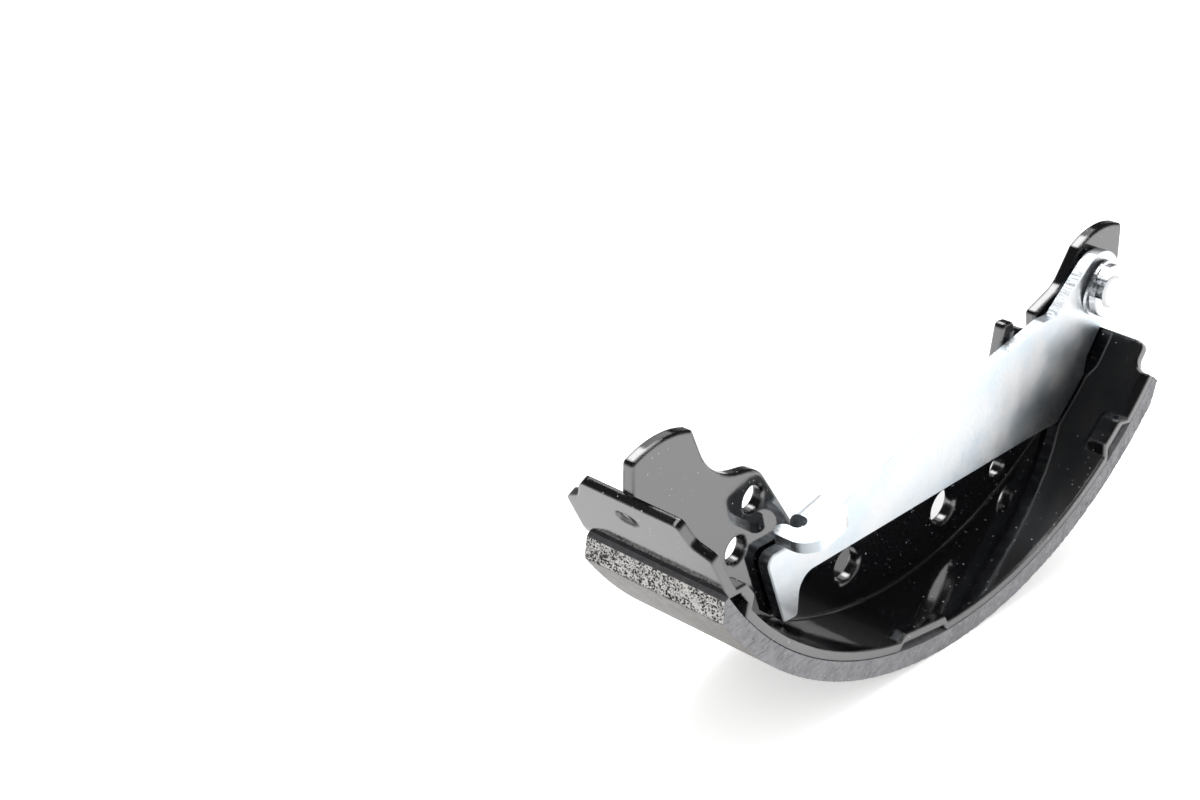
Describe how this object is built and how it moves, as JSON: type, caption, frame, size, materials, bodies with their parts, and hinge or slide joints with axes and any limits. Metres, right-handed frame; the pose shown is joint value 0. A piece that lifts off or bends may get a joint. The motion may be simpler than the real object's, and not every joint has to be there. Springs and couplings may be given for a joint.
{
  "type": "drum brake shoe with parking brake lever",
  "caption": "Curved drum brake shoe with a bonded friction lining, a flat pierced web and a plated parking brake lever that swings on a riveted pin.",
  "frame": {"origin": "on the lining's face, straight below the drum axis, at the middle of the shoe's width", "axes": "+Y along the drum axis towards the backing plate, +Z away from the lining's middle, +X towards the lever's pin"},
  "size_m": [0.1757, 0.04, 0.0761],
  "materials": {
    "paint": "gloss black",
    "zinc": "bright zinc plate",
    "friction": "matte grey friction compound"
  },
  "bodies": {
    "shoe": {"web": "paint", "rim": "paint", "lining": "friction", "pivot_pin": "zinc", "wave_washer": "zinc", "retaining_clip": "zinc"},
    "lever": {"lever": "zinc"}
  },
  "joints": [
    {"name": "lever_swing", "type": "hinge", "parent": "shoe", "child": "lever", "pos_m": [0.07184, -0.00295, 0.06053], "axis": [0, 1, 0], "range_deg": [0, 30]}
  ]
}
